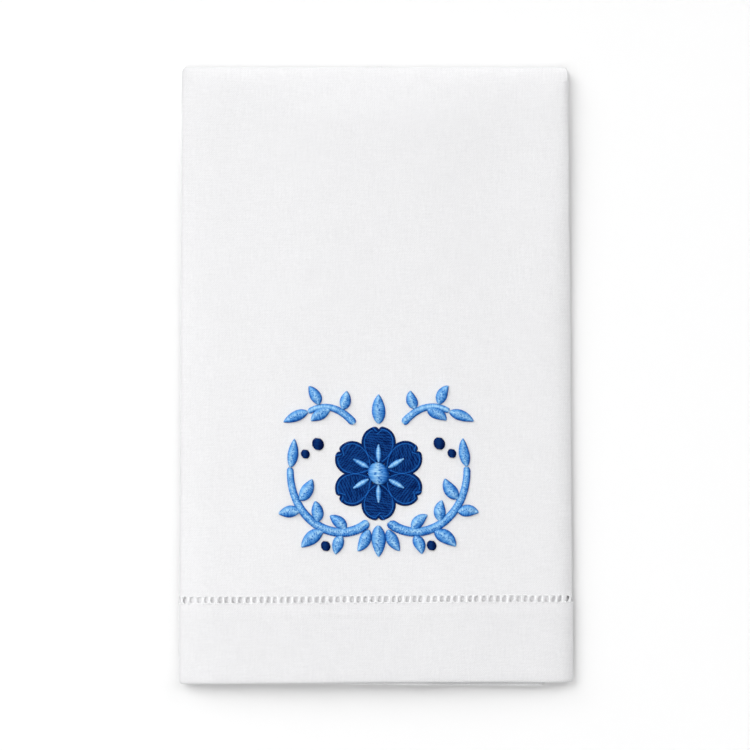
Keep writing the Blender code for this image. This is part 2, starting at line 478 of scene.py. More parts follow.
def clothThickness(u, v):
    line, half = cloth["hemLine"], hemstitch["bandHalf"]
    thick = cloth["thick"]
    if v < line - half + 0.01:
        slope = cloth["bandSlope"]
        share = softStep(cloth["bandEdge"] - slope, cloth["bandEdge"], v)
        thick = blendTo(cloth["hemThick"], cloth["bandThick"], share)
    elif v < line + half - 0.01:
        thick = cloth["barThick"]
    seam, side = clothLength - cloth["narrowHem"], cloth["width"] / 2 - cloth["sideHem"]
    thick = blendTo(thick, cloth["hemThick"], softStep(seam - 0.4, seam + 0.4, v))
    return max(thick, blendTo(thick, cloth["hemThick"], softStep(side - 1, side, abs(u))))


def edgeRounding(u, v, thick):
    # how much of its thickness the cloth has lost at its rounded edges
    inside = max(0, min(v, clothLength - v, cloth["width"] / 2 - abs(u)) / (thick / 2))
    if inside >= 1:
        return 0
    return cloth["edgeThin"] * (1 - math.sqrt(1 - (1 - inside) ** 2))


def seamDip(u, v):
    # the narrow hems' seams pull in the cloth
    side = cloth["width"] / 2 - cloth["sideHem"] + cloth["seamIn"]
    end = clothLength - cloth["narrowHem"] + cloth["seamIn"]
    near = min(abs(abs(u) - side), abs(v - end) if abs(u) < side else math.inf)
    return cloth["seamGroove"] * softStep(cloth["seamReach"], 0, near)


def openHoles(bm, middles):
    # takes the faces of each hole out of the flat cloth and rounds what is left
    line, half, pitch = cloth["hemLine"], hemstitch["bandHalf"], hemstitch["pitch"]
    reach = hemstitch["holeCell"] / 2 + 0.01

    def holeIndex(u):
        return min(len(middles) - 1, max(0, math.floor(u / pitch) + holesEachSide))

    def evenMiddle(index):
        return (index - holesEachSide + 0.5) * pitch

    def openFaces():
        for face in bm.faces:
            middle = face.calc_center_median()
            aside = abs(middle.x - evenMiddle(holeIndex(middle.x)))
            if abs(middle.y - line) < half and aside < reach:
                yield face

    rim = [edge for face in openFaces() for edge in face.edges if edge.calc_length() > hemstitch["rimCut"]]
    bmesh.ops.subdivide_edges(bm, edges=list(dict.fromkeys(rim)), cuts=2)
    bmesh.ops.delete(bm, geom=list(openFaces()), context="FACES")
    for vert in bm.verts:
        dy = vert.co.y - line
        if not vert.is_boundary or abs(dy) > half + 0.01:
            continue
        index = holeIndex(vert.co.x)
        dx = vert.co.x - evenMiddle(index)
        if abs(dx) > reach:
            continue
        angle = math.atan2(dy / half, dx / reach)
        wide, tall = hemstitch["holeWide"] / 2, hemstitch["holeTall"] / 2
        x = wide * math.cos(angle) + hemstitch["lean"] * math.sin(angle) * tall
        vert.co.x = middles[index] + x
        vert.co.y = line + tall * math.sin(angle)


def foldShadeLine(u, v):
    # 1 on the top and the left fold, where a thin line of shade is painted into the cloth's colour
    sideWide, topWide = cloth["foldShadeWide"]
    near = abs(v - frontLength - turnLength * cloth["foldShadeAt"]) / topWide
    if v < frontLength:
        (left, _), depth = frontAt(folded["frontEnd"] + v)
        near = min(near, abs(u + straightEnd(left, depth) + turnRun(depth) / 2) / sideWide)
    return math.exp(-near ** 2)


def meshOf(bm, name):
    mesh = bpy.data.meshes.new(name)
    bm.to_mesh(mesh)
    bm.free()
    return mesh


def placed(name, data):
    # an object in the scene with this mesh, lamp or camera
    made = bpy.data.objects.new(name, data)
    bpy.context.collection.objects.link(made)
    return made


def makeCloth(name):
    columns, rows = clothColumns(), clothRows()
    bm = bmesh.new()
    bmesh.ops.create_grid(bm, x_segments=len(columns) - 1, y_segments=len(rows) - 1, size=0.5)
    for vert in bm.verts:
        column = round((vert.co.x + 0.5) * (len(columns) - 1))
        row = round((vert.co.y + 0.5) * (len(rows) - 1))
        vert.co = (columns[column], rows[row], 0)
    openHoles(bm, holeMiddles())
    for vert in bm.verts:
        vert.co.x = columnShift(vert.co.x, vert.co.y)
    bm.normal_update()
    flatUV = bm.loops.layers.uv.new("flat")
    weights = bm.verts.layers.deform.verify()
    paintedFoldShade = bm.verts.layers.float.new("paintedFoldShade")
    for face in bm.faces:
        for loop in face.loops:
            loop[flatUV].uv = loop.vert.co.xy * mm
    for vert in bm.verts:
        u, v = vert.co.x, vert.co.y
        thick = clothThickness(u, v)
        lost = edgeRounding(u, v, thick)
        vert[weights][0] = thick * (1 - lost) / cloth["bandThick"]
        # painted shade along the left and top folds
        vert[paintedFoldShade] = foldShadeLine(u, v)
        vert.co = foldPoint(u, v, -thick * lost / 2 - seamDip(u, v))
    towel = placed(name, meshOf(bm, name))
    towel.vertex_groups.new(name="thickness")
    solid = towel.modifiers.new("Solidify", "SOLIDIFY")
    solid.thickness = cloth["bandThick"] * mm
    solid.offset = -1
    solid.vertex_group = "thickness"
    closed = bpy.data.meshes.new_from_object(towel.evaluated_get(bpy.context.evaluated_depsgraph_get()))
    towel.modifiers.clear()
    towel.vertex_groups.clear()
    towel.data = closed
    closed.name = name
    closed.shade_smooth()
    closed.set_sharp_from_angle(angle=math.radians(50))
    return towel


stitchShapes = {}


def stitchShape(rings):
    # a short closed length of thread along z, from 0 to 1
    if rings not in stitchShapes:
        bm = bmesh.new()
        bmesh.ops.create_cone(bm, cap_ends=True, segments=6, radius1=0.5, radius2=0.5, depth=1)
        bmesh.ops.translate(bm, verts=bm.verts, vec=(0, 0, 0.5))
        long = [edge for edge in bm.edges if abs(edge.verts[0].co.z - edge.verts[1].co.z) > 0.5]
        bmesh.ops.subdivide_edges(bm, edges=long, cuts=rings - 1)
        stitchShapes[rings] = meshOf(bm, "stitch")
    return stitchShapes[rings]


class Stitching:
    # many stitches joined in one mesh

    def __init__(self, name):
        self.name = name
        self.bm = bmesh.new()
        self.tone = self.bm.verts.layers.float.new("tone")
        # sunk carries the threads' painted highlight and shade
        self.sunk = self.bm.verts.layers.float.new("sunk")

    def lay(self, path, side, thread, tone, sunk=None):
        # path gives flat u, v and lift for 0 to 1 along the thread, and side is its sideways direction
        wide, high, rings = thread
        first = len(self.bm.verts)
        self.bm.from_mesh(stitchShape(rings))
        self.bm.verts.ensure_lookup_table()
        for vert in self.bm.verts[first:]:
            along = limited(vert.co.z)
            u, v, lift = path(along)
            across, up = vert.co.x * wide, vert.co.y * high
            vert[self.tone] = tone
            vert[self.sunk] = sunk(along) if sunk else 0
            vert.co = foldPoint(u + side[0] * across, v + side[1] * across, lift + up)

    def finish(self, material):
        bmesh.ops.recalc_face_normals(self.bm, faces=self.bm.faces)
        mesh = meshOf(self.bm, self.name)
        mesh.shade_smooth()
        mesh.materials.append(material)
        print(f"{self.name}: {len(mesh.polygons)} faces")
        return placed(self.name, mesh)


def arch(start, end, low, top, sag=0):
    # a thread that rises from the cloth, crosses over and goes in again, curving downwards by sag
    def path(along):
        bulge = math.sin(math.pi * along)
        u = blendTo(start[0], end[0], along)
        v = blendTo(start[1], end[1], along) - sag * bulge
        return u, v, low + (top - low) * bulge ** 0.6
    return path


# Each thread's width, height and number of rings, then how it lies.
hemThread = {
    "strand": (0.26, 0.26, 5),
    "strandLift": -0.02,
    "strandSink": 0.25,  # lower at its ends, which run this far into the cloth
    "strandEnd": 0.3,
    "strands": (-0.26, 0, 0.26),
    "pinch": 0.8,  # how close together they are held, and how far apart their ends are
    "fan": 2.6,
    "wrap": (0.22, 0.22, 5),
    "wraps": (0.42, 0.12, 3.0),  # up from the foot of the drawn threads
    "wrapReach": 0.6,
    "wrapLift": 0.1,
    "down": (0.22, 0.22, 4),  # the stitch from there into the hem
    "downFrom": (0.2, -0.85),
    "scallop": (0.34, 0.1, 6),
    "scallopUp": 0.14,
    "scallopIn": 0.2,
    "scallopLift": 0.02,
    "scallopSag": 0.12,
    "dash": (0.26, 0.18, 5),  # the small stitches above the holes
    "dashIn": 0.3,
    "dashLift": 0.03,
    "dashSag": -0.1,
    "into": -0.15,  # where they go into the cloth
    "seed": 11,
}


def makeHemstitching(material):
    # each bar's strands, the wraps that bind it, and the stitches from bar to bar
    stitching = Stitching("hemstitching")
    dice = random.Random(hemThread["seed"])
    line, half = cloth["hemLine"], hemstitch["bandHalf"]
    middles = holeMiddles()
    bars = [(low + high) / 2 for low, high in zip(middles, middles[1:])]
    foot, head = line - half, line + half
    look, end = hemThread, hemThread["strandEnd"]
    for bar in bars:
        waist = look["pinch"] * dice.uniform(0.8, 1.2)
        lean = dice.uniform(-0.1, 0.1)
        for strand in look["strands"]:
            def along(share, strand=strand, bar=bar, waist=waist, lean=lean):
                spread = blendTo(waist, look["fan"], (2 * share - 1) ** 4)
                sink = look["strandSink"] * (2 * share - 1) ** 6
                u = bar + strand * spread + lean * (share - 0.5)
                return u, blendTo(foot - end, head + end, share), look["strandLift"] - sink
            stitching.lay(along, (1, 0), look["strand"], dice.random())
        reach = look["wrapReach"]
        for up in look["wraps"]:
            tilt = dice.uniform(-0.1, 0.1)
            start, stop = (bar - reach, foot + up - tilt), (bar + reach, foot + up + tilt)
            over = arch(start, stop, 2 * look["into"], look["wrapLift"])
            stitching.lay(over, (0, 1), look["wrap"], dice.random())
        high, low = look["downFrom"]
        down = arch((bar + tilt, foot + high), (bar - tilt, foot + low), look["into"], look["wrapLift"])
        stitching.lay(down, (1, 0), look["down"], dice.random())
    for low, high in zip(bars, bars[1:]):
        sag = look["scallopSag"] * dice.uniform(0.6, 1.3)
        inside, v = look["scallopIn"], foot + look["scallopUp"]
        under = arch((low + inside, v), (high - inside, v), 0, look["scallopLift"], sag)
        stitching.lay(under, (0, 1), look["scallop"], dice.random())
        inside, rise = look["dashIn"], dice.uniform(-0.06, 0.08)
        over = arch((low + inside, head), (high - inside, head + rise),
                    look["into"], look["dashLift"], look["dashSag"])
        stitching.lay(over, (0, 1), look["dash"], dice.random())
    return stitching.finish(material)


seam = {"stitch": 2.4, "gap": 0.9, "thread": (0.3, 0.26, 4), "into": -0.3, "lift": -0.02, "seed": 3}


def makeSeams(material):
    # small running stitches along the two side hems and the narrow hem
    stitching = Stitching("hem_seams")
    dice = random.Random(seam["seed"])
    side = cloth["width"] / 2 - cloth["sideHem"] + cloth["seamIn"]
    end = clothLength - cloth["narrowHem"] + cloth["seamIn"]
    step = seam["stitch"] + seam["gap"]

    def run(first, heading, length):
        for index in range(int(length / step)):
            start = [place + way * index * step for place, way in zip(first, heading)]
            stop = [place + way * seam["stitch"] for place, way in zip(start, heading)]
            path = arch(start, stop, seam["into"], seam["lift"])
            stitching.lay(path, heading[::-1], seam["thread"], dice.random())

    run((-side, 2), (0, 1), clothLength - 6)
    run((side, 2), (0, 1), clothLength - 6)
    run((-side + 2, end), (1, 0), 2 * side - 4)
    return stitching.finish(material)


lightSide = Vector((-0.6, 0.8))  # satin is palest on the side towards the light
ornament = {
    "x": 1.2,
    "y": -45.3,
    "pitch": 0.36,  # of the threads, and how wide and high one is
    "thread": (0.46, 0.34),
    "sunk": 0.12,  # how far into the cloth their ends go, and how much further right at the end
    "endDip": 0.22,
    "crown": (0.28, 0.34),  # of a narrow column, and more for each millimetre of its half width
    "roundness": 0.8,
    "coreStep": 0.9,  # the padding's rings, how wide it is, and how far below the threads
    "coreWide": 1.6,
    "coreDown": 0.35,
    "splits": (-0.34, -0.12, 0.1, 0.3),  # where the threads of a wide column meet
    "seed": 21,
}


def bezier(a, b, c, d, steps=48):
    points = []
    for step in range(steps + 1):
        t = step / steps
        k = 1 - t
        points.append(Vector(a) * k ** 3 + Vector(b) * 3 * k * k * t
                      + Vector(c) * 3 * k * t * t + Vector(d) * t ** 3)
    return points


def evenly(points, gap):
    # places an even gap apart along a line, each with its direction and its share of the way
    lengths = [0]
    for low, high in zip(points, points[1:]):
        lengths.append(lengths[-1] + (high - low).length)
    count = max(2, round(lengths[-1] / gap))
    found, piece = [], 0
    for index in range(count + 1):
        wanted = lengths[-1] * index / count
        while piece < len(points) - 2 and lengths[piece + 1] < wanted:
            piece += 1
        low, high = points[piece], points[piece + 1]
        past = (wanted - lengths[piece]) / max(1e-6, lengths[piece + 1] - lengths[piece])
        found.append((low.lerp(high, past), (high - low).normalized(), index / count))
    return found


def turned(vector, degrees):
    angle = math.radians(degrees)
    return Vector((vector.x * math.cos(angle) - vector.y * math.sin(angle),
                   vector.x * math.sin(angle) + vector.y * math.cos(angle)))


def onCloth(point):
    return point.x + ornament["x"], point.y + ornament["y"] - folded["frontEnd"]


class Satin:
    # a raised column of threads side by side across a line, over a padded core

    def __init__(self, stitching, dice, crown=1.25, slant=82, split=3.4, paintedHighlightShift=0.24):
        self.stitching, self.dice = stitching, dice
        self.crown, self.slant, self.split, self.paintedHighlightShift = crown, slant, split, paintedHighlightShift

    def crownFor(self, half):
        least, more = ornament["crown"]
        return min(self.crown, least + more * half)

    def threadAcross(self, place, across, half, low, high, base):
        # one thread from low to high, each a share of the half width either way
        tone = self.dice.random()
        crown = self.crownFor(half) * self.dice.uniform(0.94, 1.06)

        def path(along):
            share = blendTo(low, high, along)
            u, v = onCloth(place + across * half * share)
            dome = math.sqrt(max(0, 1 - share * share))
            dip = ornament["sunk"] + ornament["endDip"] * (2 * along - 1) ** 8
            return u, v, base + crown * dome ** ornament["roundness"] - dip

        # painted highlight and shade: palest at the crown, shifted towards the light, darkest where the
        # thread goes in
        def sunk(along):
            share = blendTo(low, high, along)
            toLight = self.paintedHighlightShift * across.dot(lightSide)
            # painted shade: darker where a thread ends in the middle of a wide column
            needle = 0 if min(abs(low), abs(high)) > 0.9 else 0.8 * (2 * along - 1) ** 8
            return min(1, abs(share - toLight) / (1 + abs(toLight)) + needle * (abs(share) < 0.6))

        side = turned(across, 90)
        # a long thread bends over more rings
        rings = 3 if half < 0.9 else (5 if high - low < 1.5 else 7)
        self.stitching.lay(path, side, (*ornament["thread"], rings), tone, sunk)

    def column(self, line, widthAt, base=0, cored=True):
        dice = self.dice
        for place, heading, share in evenly(line, ornament["pitch"]):
            half = widthAt(share) / 2
            if half < 0.3:
                continue
            across = turned(heading, self.slant)
            rough = 0.05 / half
            low, high = -1 - dice.uniform(-rough, rough), 1 + dice.uniform(-rough, rough)
            if 2 * half > self.split:
                middle = dice.choice(ornament["splits"]) + dice.uniform(-0.08, 0.08)
                self.threadAcross(place, across, half, low, middle + 0.04, base)
                self.threadAcross(place, across, half, middle - 0.04, high, base)
            else:
                self.threadAcross(place, across, half, low, high, base)
        if cored:
            self.core(line, widthAt, base)

    def core(self, line, widthAt, base):
        # the padding under the threads
        even = evenly(line, ornament["coreStep"])
        count = len(even) - 1
        bm = self.stitching.bm
        first = len(bm.verts)
        bm.from_mesh(stitchShape(count))
        bm.verts.ensure_lookup_table()
        for vert in bm.verts[first:]:
            place, heading, share = even[min(count, max(0, round(vert.co.z * count)))]
            half = max(0.1, widthAt(share) / 2)
            high = self.crownFor(half) - ornament["coreDown"]
            u, v = onCloth(place + turned(heading, 90) * vert.co.x * ornament["coreWide"] * half)
            vert[self.stitching.sunk] = 0.5
            vert[self.stitching.tone] = 0.3
            vert.co = foldPoint(u, v, base - 0.05 + max(0, vert.co.y) * 2 * high)


def leafWidth(widest):
    # fullest a little nearer its base
    def width(share):
        return widest * math.sin(math.pi * limited(share) ** 0.82) ** 0.72
    return width


def leafLine(base, degrees, length, bend):
    ahead = turned(Vector((1, 0)), degrees)
    aside = turned(ahead, 90) * bend * length
    return bezier(base, base + ahead * length * 0.35 + aside, base + ahead * length * 0.7 + aside,
                  base + ahead * length)


# The sprigs, for the right side. The left side is their mirror image.
Sprig = namedtuple("Sprig", "start first second end thick thin leaves tipHeading tipLength")
Leaf = namedtuple("Leaf", "share heading length width")
sprigs = (
    Sprig((4.5, -21), (18, -33), (41, -21), (40, 4), 4.7, 3.3, (
        Leaf(0.20, 42, 9.5, 5.4), Leaf(0.24, -70, 9, 5.4),
        Leaf(0.42, -36, 12, 6.4), Leaf(0.50, 84, 9.5, 5.6),
        Leaf(0.66, -4, 9.5, 5.6), Leaf(0.76, 122, 11, 6.0),
    ), 98, 13),
    Sprig((11, 23.5), (16, 30), (24, 34), (32, 29), 3.8, 2.8, (
        Leaf(0.34, 104, 8.5, 5.2), Leaf(0.52, -30, 10, 5.6),
        Leaf(0.78, 62, 9.5, 5.2),
    ), -22, 12),
)
# The leaves above and below the blossom: heading, start, length and width. The last has a mirror image.
loneLeaves = ((-90, (0, -22.5), 14.5, 6.8), (90, (0, 23.5), 13.5, 6.4))
sideLeaf = (-62, (4.4, -24.5), 11, 5.6)
berries = ((27.5, 14.5, 2.8), (33.2, 10, 2.1), (24, -31.8, 2.3))
blossom = {
    "y": 1,
    "petals": 6,
    "from": 4,  # of the petals, out from the middle
    "length": 17.6,
    "width": 15,
    "heart": 5.0,
    "vein": (8.6, 2.7),  # length and width
    "fill": (0.5, 0.32, 4),  # the stitches that fill the petals, in rows turned like this
    "fillTurn": 62,
    "fillIn": 0.2,
    "row": 0.42,
    "stitch": 3.1,
    "stagger": 0.37,
    "border": 1.3,
    "borderIn": 0.4,
    "line": (0.42, 0.36, 4),  # of the paler line inside the border, a painted highlight on the border's lit inner side
    "lineIn": 1.15,
    "lineStep": 1.3,
    "lineStitch": 1.9,
}


def mirrored(point, side):
    return Vector((point[0] * side, point[1]))


def headingFor(degrees, side):
    return degrees if side > 0 else 180 - degrees


def stemWidth(thick, thin, length):
    # narrows evenly, with a rounded start and end
    def width(share):
        wide = blendTo(thick, thin, share)
        fromEnd = min(1, 2 * min(share, 1 - share) * length / wide)
        return wide * math.sqrt(1 - (1 - fromEnd) ** 2)
    return width


def makeSprigs(material):
    stitching = Stitching("embroidery_sprigs")
    dice = random.Random(ornament["seed"])
    satin = Satin(stitching, dice)
    for side in (1, -1):
        for sprig in sprigs:
            stem = bezier(*[mirrored(point, side) for point in sprig[:4]])
            length = sum((high - low).length for low, high in zip(stem, stem[1:]))
            satin.column(stem, stemWidth(sprig.thick, sprig.thin, length))
            for leaf in sprig.leaves:
                index = round(leaf.share * (len(stem) - 1))
                heading = headingFor(leaf.heading, side)
                out = turned(Vector((1, 0)), heading)
                line = leafLine(stem[index] + out * sprig.thin * 0.5, heading, leaf.length, 0.09 * side)
                satin.column(line, leafWidth(leaf.width), 0.12)
            tip = leafLine(stem[-1], headingFor(sprig.tipHeading, side), sprig.tipLength, 0.04 * side)
            satin.column(tip, leafWidth(5), 0.12)
    for heading, start, length, width in loneLeaves:
        satin.column(leafLine(Vector(start), heading, length, 0), leafWidth(width))
    heading, start, length, width = sideLeaf
    for side in (1, -1):
        line = leafLine(mirrored(start, side), headingFor(heading, side), length, -0.08 * side)
        satin.column(line, leafWidth(width), 0.1)
    return stitching.finish(material)


def petalHeading(number):
    return 90 + 360 / blossom["petals"] * number


def petalOutline(number):
    middle = Vector((0, blossom["y"]))
    ahead = turned(Vector((1, 0)), petalHeading(number))
    aside = turned(ahead, 90)
    length, width = blossom["length"], blossom["width"]

    def at(out, across):
        return middle + ahead * (blossom["from"] + out) + aside * across

    flank = bezier(at(0, -1.5), at(length * 0.28, -width * 0.62), at(length * 0.84, -width * 0.64),
                   at(length * 0.96, -width * 0.17), 24)
    notch = bezier(at(length * 0.96, -width * 0.17), at(length, -width * 0.07), at(length * 0.93, -0.3),
                   at(length * 0.89, 0), 8)
    half = flank + notch[1:]
    other = []
    for point in half[::-1]:
        across = (point - middle).dot(aside)
        other.append(point - aside * 2 * across)
    return half + other[1:]


def inset(outline, distance):
    # the outline moved inwards
    count, found = len(outline), []
    for index, point in enumerate(outline):
        heading = outline[(index + 1) % count] - outline[index - 1]
        found.append(point + turned(heading.normalized(), 90) * distance)
    return found


def fillRows(outline, heading, gap):
    # the stretches of parallel rows that lie inside an outline
    ahead = turned(Vector((1, 0)), heading)
    aside = turned(ahead, 90)
    places = [(p.dot(ahead), p.dot(aside)) for p in outline]
    low, high = min(p[1] for p in places), max(p[1] for p in places)
    for number in range(int((high - low) / gap)):
        row = low + (number + 0.5) * gap
        cuts = []
        for (x0, y0), (x1, y1) in zip(places, places[1:] + places[:1]):
            if (y0 - row) * (y1 - row) < 0:
                cuts.append(blendTo(x0, x1, (row - y0) / (y1 - y0)))
        cuts.sort()
        for start, end in zip(cuts[::2], cuts[1::2]):
            yield number, ahead, aside, row, start, end


def makeFill(stitching, dice, outline, heading):
    length = blossom["stitch"]
    for number, ahead, aside, row, start, end in fillRows(outline, heading, blossom["row"]):
        place = start + ((number * blossom["stagger"]) % 1 - 1) * length
        while place < end:
            low, high = max(start, place), min(end, place + length)
            place += length
            if high - low < 0.5:
                continue
            first, last = ahead * low + aside * row, ahead * high + aside * row
            lift = 0.36 + dice.uniform(-0.04, 0.04)

            def path(along, first=first, last=last, lift=lift):
                u, v = onCloth(first.lerp(last, along))
                return u, v, lift - 0.3 * (2 * along - 1) ** 6

            # painted shade towards each fill stitch's ends
            stitching.lay(path, aside, blossom["fill"], dice.random(), lambda along: (2 * along - 1) ** 6)


def makeBlossom(fillMaterial, borderMaterial, lineMaterial, heartMaterial):
    dice = random.Random(ornament["seed"] + 1)
    fill, border = Stitching("embroidery_petals"), Stitching("embroidery_borders")
    lines, heart = Stitching("embroidery_outlines"), Stitching("embroidery_heart")
    satin = Satin(border, dice, crown=0.95, slant=80)
    for number in range(blossom["petals"]):
        outline = petalOutline(number)
        makeFill(fill, dice, inset(outline, blossom["fillIn"]), petalHeading(number) + blossom["fillTurn"])
        satin.column(inset(outline, blossom["borderIn"]), lambda share: blossom["border"], 0.1, cored=False)
        # a paler line inside the border: painted highlight of the border's lit side
        for place, direction, _ in evenly(inset(outline, blossom["lineIn"]), blossom["lineStep"]):
            end = place + direction * blossom["lineStitch"]

            def path(along, place=place, end=end):
                u, v = onCloth(place.lerp(end, along))
                return u, v, 0.5 - 0.3 * (2 * along - 1) ** 4

            lines.lay(path, turned(direction, 90), blossom["line"], dice.random())
    berrySatin = Satin(border, dice, crown=1.2, split=9)
    for x, y, radius in berries:
        for side in (1, -1):
            berrySatin.column(roundLine(mirrored((x, y), side), radius), roundWidth(radius), cored=False)
    heartSatin = Satin(heart, dice, crown=1.6, split=4.2)
    middle, radius = Vector((0, blossom["y"])), blossom["heart"]
    heartSatin.column(roundLine(middle, radius), roundWidth(radius), 0.35)
    veinSatin = Satin(heart, dice, crown=0.6)
    length, width = blossom["vein"]
    for number in range(blossom["petals"]):
        start = middle + turned(Vector((radius + 0.1, 0)), petalHeading(number))
        vein = leafLine(start, petalHeading(number), length, 0)
        veinSatin.column(vein, leafWidth(width), 0.4, cored=False)
    return (fill.finish(fillMaterial), border.finish(borderMaterial), lines.finish(lineMaterial),
            heart.finish(heartMaterial))


def roundLine(middle, radius):
    return [middle + Vector((0, -radius)), middle + Vector((0, radius))]


def roundWidth(radius):
    def width(share):
        return 2 * radius * math.sqrt(max(0, 1 - (2 * share - 1) ** 2))
    return width


def setSockets(node, values):
    # a wire is linked, and a plain value is set on the socket itself
    for name, value in values.items():
        if isinstance(value, Wire):
            value.tree.links.new(value.socket, node.inputs[name])
        else:
            node.inputs[name].default_value = value


class Wire:
    # a socket of a material, on which sums add Math nodes

    def __init__(self, tree, socket=None):
        self.tree, self.socket = tree, socket

    def node(self, kind, settings=None, inputs=None, output=0):
        made = self.tree.nodes.new(kind)
        for name, value in (settings or {}).items():
            if name == "stops":
                for index, (place, colour) in enumerate(value):
                    stops = made.color_ramp.elements
                    stop = stops[index] if index < len(stops) else stops.new(place)
                    stop.position, stop.color = place, colour
            else:
                setattr(made, name, value)
        setSockets(made, inputs or {})
        return Wire(self.tree, made.outputs[output])

    def maths(self, operation, other=0.0):
        return self.node("ShaderNodeMath", {"operation": operation}, {0: self, 1: other})

    def __add__(self, other):
        return self.maths("ADD", other)

    def __sub__(self, other):
        return self.maths("SUBTRACT", other)

    def __rsub__(self, other):
        return self.node("ShaderNodeMath", {"operation": "SUBTRACT"}, {0: other, 1: self})

    def __mul__(self, other):
        return self.maths("MULTIPLY", other)

    def clamped(self):
        return self.node("ShaderNodeClamp", {}, {"Value": self})

    def beside(self, other):
        # a vector with this as its first part and the other as its second
        return self.node("ShaderNodeCombineXYZ", {}, {0: self, 1: other})

    def stretched(self, u, v):
        # a vector with its two first parts scaled
        return self.node("ShaderNodeVectorMath", {"operation": "MULTIPLY"}, {0: self, 1: (u, v, 1)})

    def grain(self, scale, detail=2, rough=0.5):
        return self.node("ShaderNodeTexNoise", {"noise_dimensions": "3D"},
                         {"Vector": self, "Scale": scale, "Detail": detail, "Roughness": rough})

    def mix(self, low, high):
        # between two colours, by this share
        return self.node("ShaderNodeMix", {"data_type": "RGBA"}, {0: self, 6: low, 7: high}, 2)


def newMaterial(name):
    material = bpy.data.materials.new(name)
    material.use_nodes = True
    shader = material.node_tree.nodes["Principled BSDF"]
    return material, shader, Wire(material.node_tree)


linenLook = {
    "pale": (0.8285, 0.827, 0.8365, 1),
    "dim": (0.695, 0.6935, 0.703, 1),
    # the painted shade colour of the line along the left and top folds
    "crease": (0.5, 0.5, 0.51, 1),
    "foldShadeStrength": 0.62,  # how far the painted shade line on the pressed folds goes towards that colour
    "level": 0.42,  # between dim and pale, before what follows
    "slubs": 0.52,  # how strongly each kind of unevenness of the weave shows
    "over": 0.24,
    "specks": 1.6,
    "hatch": 1.1,
    "patches": 0.15,
    "threads": 0.2,
    "bandGrey": 0.04,
    "hemGrey": 0.12,
    "warpPitch": 0.5,  # millimetres from thread to thread
    "weftPitch": 0.504,
    "wander": 0.5,
    "roughness": 0.9,
    "sheen": 0.05,
    "weaveDepth": 0.07,
    "glow": 0.5,  # how much of the light goes into the cloth, and how far, in metres
    "glowReach": 0.0005,
}


def linenMaterial():
    material, shader, start = newMaterial("linen")
    look = linenLook
    flat = start.node("ShaderNodeUVMap", {"uv_map": "flat"})
    inMillimetres = flat.stretched(1000, 1000)
    u = inMillimetres.node("ShaderNodeSeparateXYZ", {}, {0: inMillimetres}, 0)
    v = inMillimetres.node("ShaderNodeSeparateXYZ", {}, {0: inMillimetres}, 1)
    wanderU = inMillimetres.stretched(1, 0.08).grain(0.35, 1) - 0.5
    wanderV = inMillimetres.stretched(0.08, 1).grain(0.35, 1) - 0.5
    warpSlub = inMillimetres.stretched(1, 0.05).grain(2.2, 1)
    weftSlub = inMillimetres.stretched(0.05, 1).grain(2.2, 1)
    warp = ((u + wanderU * look["wander"]) * (math.pi / look["warpPitch"])).maths("SINE")
    weft = ((v + wanderV * look["wander"]) * (math.pi / look["weftPitch"])).maths("SINE")
    over = warp * weft
    warpHigh = warp.maths("ABSOLUTE") * (over * 0.5 + 0.5) * (warpSlub * 0.8 + 0.6)
    weftHigh = weft.maths("ABSOLUTE") * (0.5 - over * 0.5) * (weftSlub * 0.8 + 0.6)
    threads = warpHigh.maths("MAXIMUM", weftHigh)
    specks = inMillimetres.grain(4.5, 0) - 0.5
    hatch = (u + v).beside(v - u).stretched(0.3, 1.5).grain(1.4, 1) - 0.5
    patches = inMillimetres.grain(0.1) - 0.5
    slubs = (warpSlub - 0.5) * look["slubs"] + (weftSlub - 0.5) * look["slubs"]
    # the deep hem is a little greyer, but not where its edge is turned under
    doubled = start.node("ShaderNodeMapRange", {"interpolation_type": "SMOOTHSTEP"}, {
        "Value": v, "From Min": cloth["bandEdge"] - cloth["bandSlope"], "From Max": cloth["bandEdge"]})
    band = doubled * (cloth["hemLine"] - v).maths("GREATER_THAN")
    texture = slubs + over * look["over"] + specks * look["specks"] + hatch * look["hatch"]
    texture = texture + patches * look["patches"] + threads * look["threads"]
    shade = texture - band * look["bandGrey"] + (doubled - 1) * look["hemGrey"] + look["level"]
    # the cloth's colour, with painted shade along the left and top folds
    paintedFoldShade = start.node("ShaderNodeAttribute", {"attribute_name": "paintedFoldShade"}, {}, 2) * look["foldShadeStrength"]
    colour = paintedFoldShade.mix(shade.clamped().mix(look["dim"], look["pale"]), look["crease"])
    bump = start.node("ShaderNodeBump", {}, {
        "Strength": 0.6, "Distance": look["weaveDepth"] * mm,
        "Height": threads + warpSlub * 0.5 + weftSlub * 0.5})
    shader.subsurface_method = "RANDOM_WALK"
    setSockets(shader, {
        "Base Color": colour,
        "Roughness": (warpSlub * 0.12 + (look["roughness"] - 0.06)).clamped(),
        "Normal": bump,
        "Subsurface Weight": look["glow"],
        "Subsurface Radius": (1, 1, 1),
        "Subsurface Scale": look["glowReach"],
        "Sheen Weight": look["sheen"],
        "Sheen Roughness": 0.5,
        "Specular IOR Level": 0.25,
    })
    return material


